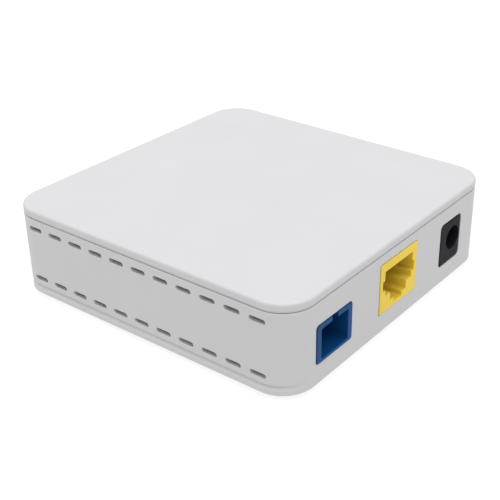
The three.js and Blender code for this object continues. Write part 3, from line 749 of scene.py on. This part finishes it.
def make_fibre_socket(materials):
    low, high, centre, size = port_box("sc_receptacle_housing")
    face = rectangle((centre[0], centre[2]), (size[0], size[2]), PORT_RADII["sc_receptacle_housing"])
    housing = bar("sc", face, "y", (low[1], high[1]), 0.12)
    axis = (centre[0], centre[2] - SC_AXIS_DROP)
    mouth = rectangle(axis, SC_MOUTH, SC_MOUTH_RADIUS)
    key = rectangle((centre[0], high[2]), (SC_KEY_WIDTH, size[2] - SC_MOUTH[1] + SC_KEY_OVERLAP))
    bore = disc(axis, SC_BORE)
    combine(housing, [cutter(mouth, "y", low[1], low[1] + SC_CAVITY, 0.1)], "DIFFERENCE")
    combine(housing, [cutter(key, "y", low[1], low[1] + SC_KEY_DEPTH, 0.06)], "DIFFERENCE")
    combine(housing, [cutter(bore, "y", high[1], low[1] + SC_CAVITY - JOIN_DEPTH)], "DIFFERENCE")
    publish(
        housing, "fibre_socket", materials["blue_plastic"], BODY,
        ["sc_receptacle_housing"],
    )

    low, high, centre, size = port_box("sc_sleeve_holder")
    axis = (centre[0], centre[2])
    plate = rectangle(axis, (size[0], size[2]), 0.4)
    flange = bar("flange", plate, "y", (high[1] - HOLDER_FLANGE, high[1]), 0.1)
    barrel = ring_solid("barrel", *HOLDER_RADII, "y", (low[1], high[1]), axis)
    bore = cutter(disc(axis, HOLDER_RADII[0]), "y", high[1] + OVERSHOOT, low[1] - OVERSHOOT)
    combine(flange, [bore], "DIFFERENCE")
    combine(flange, [barrel], "UNION")
    publish(
        flange, "sleeve_holder", materials["ivory_plastic"], BODY,
        ["sc_sleeve_holder"],
    )

    low, high, centre, size = port_box("ferrule_sleeve")
    axis = (centre[0], centre[2])
    sleeve = ring_solid("sleeve", *SLEEVE_RADII, "y", (low[1], high[1]), axis, edge=0.08)
    publish(sleeve, "zirconia_sleeve", materials["zirconia"], BODY, ["ferrule_sleeve"])


# ---------------------------------------------------------------- network socket

RJ_TOP_RIM = 2.1
# Steps of the mouth: half width, and depth under the mouth's top
RJ_STEPS = ((5.85, 2.3), (6.65, 4.9), (5.55, 6.3), (3.4, 8.4), (1.7, 9.4))
RJ_CAVITY = 13.5
# The contact carrier's room: width, bottom and top from the middle; its tongue: width and bottom
RJ_ROOM = (11.6, -10.0, 4.4)
RJ_TONGUE = (9.6, 4.1)
CONTACT_SECTION = (0.35, 0.28)
CONTACT_ROOT = (0.15, -0.17)
CONTACT_TIP = (-0.05, 0.17)
CONTACT_KNEE = (-1.3, 0.1)
CONTACT_STEPS = 12


def rj_mouth(centre_x, top):
    """Stepped outline of the mouth, anticlockwise."""
    right = []
    level = top
    for half, depth in RJ_STEPS:
        right.append((centre_x + half, level))
        level = top - depth
        right.append((centre_x + half, level))
    left = [(2 * centre_x - x, z) for x, z in right][::-1]
    return np.array((left + right)[::-1])


def make_network_socket(materials):
    low, high, centre, size = port_box("rj45_housing")
    face = rectangle((centre[0], centre[2]), (size[0], size[2]), PORT_RADII["rj45_housing"])
    housing = bar("rj", face, "y", (low[1], high[1]), 0.15)
    mouth = soften(rj_mouth(centre[0], high[2] - RJ_TOP_RIM), 0.15)
    combine(housing, [cutter(mouth, "y", low[1], low[1] + RJ_CAVITY, 0.08)], "DIFFERENCE")
    carrier_low, carrier_high = low_high("rj45_contact_carrier")
    width, bottom, top = RJ_ROOM
    room = rectangle((centre[0], centre[2] + (bottom + top) / 2), (width, top - bottom), 0.05)
    combine(housing, [cutter(room, "y", high[1], low[1] + RJ_CAVITY - JOIN_DEPTH)], "DIFFERENCE")
    width, bottom = RJ_TONGUE[0], centre[2] + RJ_TONGUE[1]
    top = carrier_high[2] + FIT_GAP
    tongue = rectangle((centre[0], (bottom + top) / 2), (width, top - bottom), 0.05)
    combine(housing, [cutter(tongue, "y", high[1], carrier_low[1] - FIT_GAP)], "DIFFERENCE")
    publish(
        housing, "network_socket", materials["yellow_plastic"], BODY,
        ["rj45_housing"],
    )


def make_contacts(materials):
    """Bent gold fingers, each with a rounded section and a smooth bend."""
    for i in range(1, 9):
        node = f"rj45_contact_{i}"
        low, high = low_high(node)
        x = (low[0] + high[0]) / 2
        root = np.array((low[1], high[2])) + CONTACT_ROOT
        tip = np.array((high[1], low[2])) + CONTACT_TIP
        knee = tip + CONTACT_KNEE
        path = []
        for k in range(CONTACT_STEPS + 1):
            t = k / CONTACT_STEPS
            path.append((1 - t) ** 2 * root + 2 * t * (1 - t) * knee + t ** 2 * tip)
        strip = bent_strip(node, path, x, *CONTACT_SECTION)
        publish(
            strip, f"network_contact_{i}", materials["gold_contact"], "rj45_contact_set",
            [node],
        )


def bent_strip(name, path, x, width, thickness):
    """A strip of rounded section along a path in the YZ plane."""
    section = rectangle((0, 0), (width, thickness), thickness * 0.3, 3)
    vertices = []
    for i, point in enumerate(path):
        along = path[min(i + 1, len(path) - 1)] - path[max(i - 1, 0)]
        along = along / np.linalg.norm(along)
        for u, v in section:
            vertices.append((x + u, point[0] - v * along[1], point[1] + v * along[0]))
    count = len(section)
    faces = []
    for s in range(len(path) - 1):
        near, far = s * count, (s + 1) * count
        for k in range(count):
            following = (k + 1) % count
            faces.append((near + k, near + following, far + following, far + k))
    faces.append(tuple(range(count)))
    faces.append(tuple(range((len(path) - 1) * count, len(path) * count)))
    return new_object(name, vertices, faces)


# ---------------------------------------------------------------- power inlet

DC_BORE_RADIUS = 3.0
DC_BORE_OFFSET = (1.15, 0.4)
DC_BORE_DEPTH = 9.5
DC_PIN_HOLE = (1.35, 9.0)
DC_CHANNEL_WIDTH = 3.0
DC_CHANNEL_BACK = 1.5
# Rooms of the leaf and of its tail: middle under the bore's axis, height, start behind the face
DC_CHANNELS = ((3.9, 2.8, 1.8), (8.5, 7.4, 11.3))


def make_power_inlet(materials):
    """The inlet's body: its bore, the pin's hole, and the rooms of the leaf and of its tail."""
    low, high, centre, size = port_box("dc_jack_housing")
    axis = (centre[0] + DC_BORE_OFFSET[0], centre[2] + DC_BORE_OFFSET[1])
    face = rectangle((centre[0], centre[2]), (size[0], size[2]), PORT_RADII["dc_jack_housing"])
    housing = bar("dc", face, "y", (low[1], high[1]), 0.2)
    bore = cutter(disc(axis, DC_BORE_RADIUS, 96), "y", low[1], low[1] + DC_BORE_DEPTH, flare=EDGE)
    combine(housing, [bore], "DIFFERENCE")
    pin_radius, pin_level = DC_PIN_HOLE
    pin_hole = cutter(disc(axis, pin_radius), "y", high[1], low[1] + pin_level)
    combine(housing, [pin_hole], "DIFFERENCE")
    for below, height, start in DC_CHANNELS:
        outline = rectangle((axis[0], axis[1] - below), (DC_CHANNEL_WIDTH, height), 0.05)
        channel = bar("channel", outline, "y", (low[1] + start, high[1] - DC_CHANNEL_BACK), 0.02)
        combine(housing, [channel], "DIFFERENCE")
    publish(
        housing, "power_inlet", materials["black_plastic"], BODY,
        ["dc_jack_housing"],
    )


# ---------------------------------------------------------------- carried-over nodes

SOFT_EDGE = 0.06
SOFT_ANGLE = 40


def dress_nodes(materials):
    """Every CAD node that still shows gets its slot's material and softened edges."""
    slots = {row["node"]: row["material_slot"] for row in frame["record"]["subparts"]}
    for name, obj in frame["nodes"].items():
        if obj.hide_render:
            continue
        obj.data.materials.clear()
        obj.data.materials.append(materials[slots[name]])
        bevel = obj.modifiers.new("soft_edges", "BEVEL")
        bevel.width = SOFT_EDGE * MM
        bevel.segments = 2
        bevel.limit_method = "ANGLE"
        bevel.angle_limit = math.radians(SOFT_ANGLE)


# ---------------------------------------------------------------- stage

CAMERA_PLACE = (-171.8, -137.8, 125.1)
CAMERA_AZIMUTH = -54.045
CAMERA_ELEVATION = 28.456
CAMERA_ROLL = 0.314
CAMERA_LENS = 72.36
CAMERA_SHIFT = -0.1
FLOOR_REACH = 4
FLOOR_GLOW = 0.85
WORLD_STRENGTH = 1.02
SUN_STRENGTH = 2.07
SUN_SPREAD = 70
SUN_TILT = (2.5, -3.5)


def make_camera():
    azimuth = math.radians(CAMERA_AZIMUTH)
    elevation = math.radians(CAMERA_ELEVATION)
    roll = math.radians(CAMERA_ROLL)
    back = Vector((
        math.sin(azimuth) * math.cos(elevation),
        -math.cos(azimuth) * math.cos(elevation),
        math.sin(elevation),
    ))
    right = Vector((math.cos(azimuth), math.sin(azimuth), 0))
    up = back.cross(right)
    turned_right = right * math.cos(roll) + up * math.sin(roll)
    turned_up = up * math.cos(roll) - right * math.sin(roll)
    turn = Matrix((turned_right, turned_up, back)).transposed().to_4x4()
    data = bpy.data.cameras.new("camera")
    data.lens = CAMERA_LENS
    data.sensor_width = 36
    data.shift_x = CAMERA_SHIFT
    data.clip_start = 0.005
    data.clip_end = 50
    camera = bpy.data.objects.new("camera", data)
    camera.matrix_world = Matrix.Translation(Vector(CAMERA_PLACE) * MM) @ turn
    scene.collection.objects.link(camera)
    scene.camera = camera


def make_floor():
    """A plain pale floor that glows a little, so that it meets the white surround without a line."""
    bm = bmesh.new()
    bmesh.ops.create_grid(bm, x_segments=8, y_segments=8, size=FLOOR_REACH)
    mesh = bpy.data.meshes.new("floor")
    bm.to_mesh(mesh)
    bm.free()
    floor = bpy.data.objects.new("floor", mesh)
    scene.collection.objects.link(floor)
    material, nodes, links, shader = new_material("floor_paper")
    grain = object_noise(nodes, links, 40, detail=4)
    dim, bright = (0.12, 0.12, 0.119), (0.13, 0.13, 0.129)
    links.new(ramp(nodes, links, grain, dim, bright), shader.inputs["Base Color"])
    shader.inputs["Roughness"].default_value = 0.9
    shader.inputs["Emission Color"].default_value = (1, 0.995, 0.985, 1)
    shader.inputs["Emission Strength"].default_value = FLOOR_GLOW
    mesh.materials.append(material)


def make_lights():
    """An even white surround and a very soft sun overhead."""
    world = bpy.data.worlds.new("studio")
    world.use_nodes = True
    background = world.node_tree.nodes["Background"]
    background.inputs["Color"].default_value = (1, 1, 1, 1)
    background.inputs["Strength"].default_value = WORLD_STRENGTH
    scene.world = world
    sun = bpy.data.lights.new("overhead", "SUN")
    sun.energy = SUN_STRENGTH
    sun.angle = math.radians(SUN_SPREAD)
    lamp = bpy.data.objects.new("overhead", sun)
    lamp.rotation_euler = (math.radians(SUN_TILT[0]), math.radians(SUN_TILT[1]), 0)
    scene.collection.objects.link(lamp)


scene.view_settings.view_transform = "Standard"
scene.view_settings.look = "None"
make_camera()
make_floor()
make_lights()
surfaces = make_materials()
make_casing(surfaces)
make_feet(surfaces)
make_label(surfaces)
make_light_pipe(surfaces)
make_fibre_socket(surfaces)
make_network_socket(surfaces)
make_contacts(surfaces)
make_power_inlet(surfaces)
dress_nodes(surfaces)
